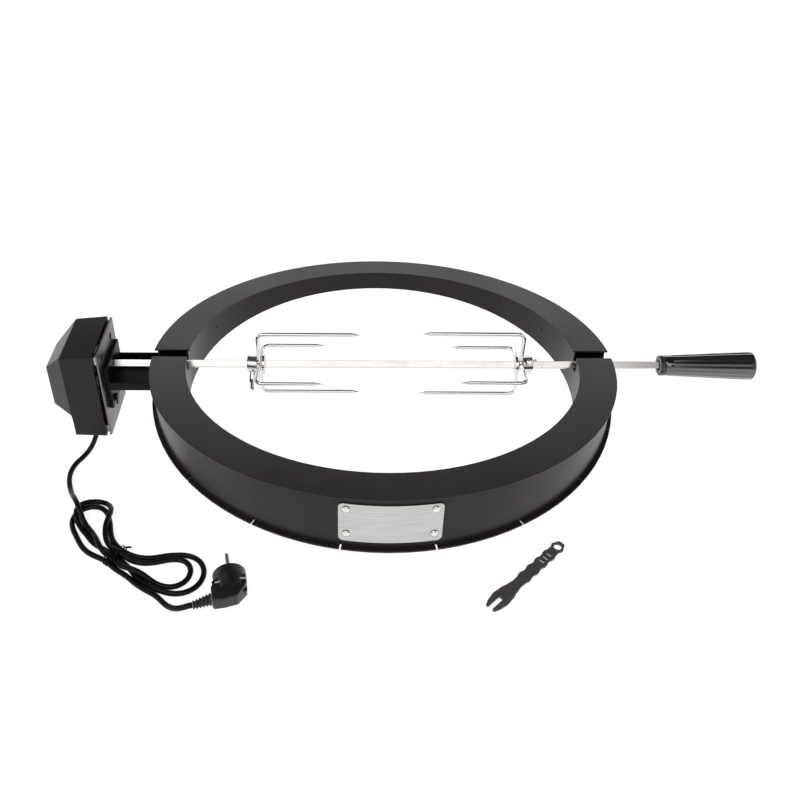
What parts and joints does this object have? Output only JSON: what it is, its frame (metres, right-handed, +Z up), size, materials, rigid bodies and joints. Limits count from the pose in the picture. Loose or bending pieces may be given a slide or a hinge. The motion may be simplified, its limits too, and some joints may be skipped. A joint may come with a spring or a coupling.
{
  "type": "rotisserie spit roaster",
  "caption": "Wedge-shaped ring that sits on a kettle or ceramic grill's rim and carries a motor-driven square spit with meat forks, a mains lead and a fork wrench.",
  "frame": {"origin": "centre of the ring's seat circle, on the plane where the underside of its lip rests on the grill's rim", "axes": "+X along the spit from the motor to the handle, +Z up, -Y towards the high front of the ring with the name plate"},
  "size_m": [0.818, 0.532, 0.1869],
  "materials": {
    "powder_coat": "fine satin powder coat, dark warm grey",
    "black_steel": "black, satin",
    "stainless": "polished",
    "name_plate_steel": "brushed",
    "zinc": "zinc plated",
    "motor_plate_metal": "warm grey metallic, satin",
    "housing_plastic": "satin, dark grey",
    "handle_plastic": "glossy black",
    "cord_rubber": "satin black",
    "wrench_steel": "matte, dark blackened steel"
  },
  "bodies": {
    "roaster": {"ring_outer_wall": "powder_coat", "ring_inner_wall": "powder_coat", "ring_bottom_plate": "powder_coat", "ring_top_plate_front": "powder_coat", "ring_top_plate_back": "powder_coat", "name_plate": "name_plate_steel", "name_plate_rivet_upper_left": "stainless", "name_plate_rivet_upper_right": "stainless", "name_plate_rivet_lower_left": "stainless", "name_plate_rivet_lower_right": "stainless", "motor_bracket": "black_steel", "bracket_bolt_front": "black_steel", "bracket_bolt_back": "black_steel", "motor_plate": "motor_plate_metal", "plate_spacer_lower_front": "zinc", "plate_spacer_lower_back": "zinc", "plate_spacer_upper_front": "zinc", "plate_spacer_upper_back": "zinc", "gearbox_frame": "black_steel", "gearbox_case": "zinc", "gearbox_pillar_lower_front": "zinc", "gearbox_pillar_lower_back": "zinc", "gearbox_pillar_upper_front": "zinc", "gearbox_pillar_upper_back": "zinc", "motor_can": "zinc", "motor_housing": "housing_plastic", "cord_gland": "cord_rubber", "cord_lead": "cord_rubber", "cord_hank_left": "cord_rubber", "cord_tie": "black_steel", "cord_hank_right": "cord_rubber", "cord_tail": "cord_rubber", "plug_strain_relief": "cord_rubber", "plug_body": "cord_rubber", "plug_pin_lower": "zinc", "plug_pin_upper": "zinc", "plug_earth_clip_left": "zinc", "plug_earth_clip_right": "zinc"},
    "drive": {"drive_socket": "zinc"},
    "spit": {"spit_rod": "stainless", "handle_collar": "black_steel", "handle_grip": "handle_plastic"},
    "left_fork": {"left_fork_hub": "stainless", "left_fork_wire_front": "stainless", "left_fork_wire_rear": "stainless"},
    "left_screw": {"left_thumb_screw": "stainless"},
    "right_fork": {"right_fork_hub": "stainless", "right_fork_wire_front": "stainless", "right_fork_wire_rear": "stainless"},
    "right_screw": {"right_thumb_screw": "stainless"},
    "wrench": {"fork_wrench": "wrench_steel"}
  },
  "joints": [
    {"name": "motor_drive", "type": "hinge", "parent": "roaster", "child": "drive", "pos_m": [-0.325, 0, 0.022], "axis": [1, 0, 0], "continuous": true},
    {"name": "spit_slide", "type": "slide", "parent": "drive", "child": "spit", "axis": [1, 0, 0], "range_m": [0, 0.025]},
    {"name": "left_fork_slide", "type": "slide", "parent": "spit", "child": "left_fork", "axis": [1, 0, 0], "range_m": [-0.045, 0.03]},
    {"name": "right_fork_slide", "type": "slide", "parent": "spit", "child": "right_fork", "axis": [1, 0, 0], "range_m": [-0.03, 0.015]},
    {"name": "left_screw_turn", "type": "hinge", "parent": "left_fork", "child": "left_screw", "pos_m": [-0.1505, 0, 0.022], "axis": [0, -0.7071, -0.7071], "range_deg": [0, 360]},
    {"name": "right_screw_turn", "type": "hinge", "parent": "right_fork", "child": "right_screw", "pos_m": [0.17, 0, 0.022], "axis": [0, -0.7071, 0.7071], "range_deg": [0, 360]},
    {"name": "wrench_lift", "type": "slide", "parent": "roaster", "child": "wrench", "axis": [0, 0, 1], "range_m": [0, 0.05]}
  ]
}
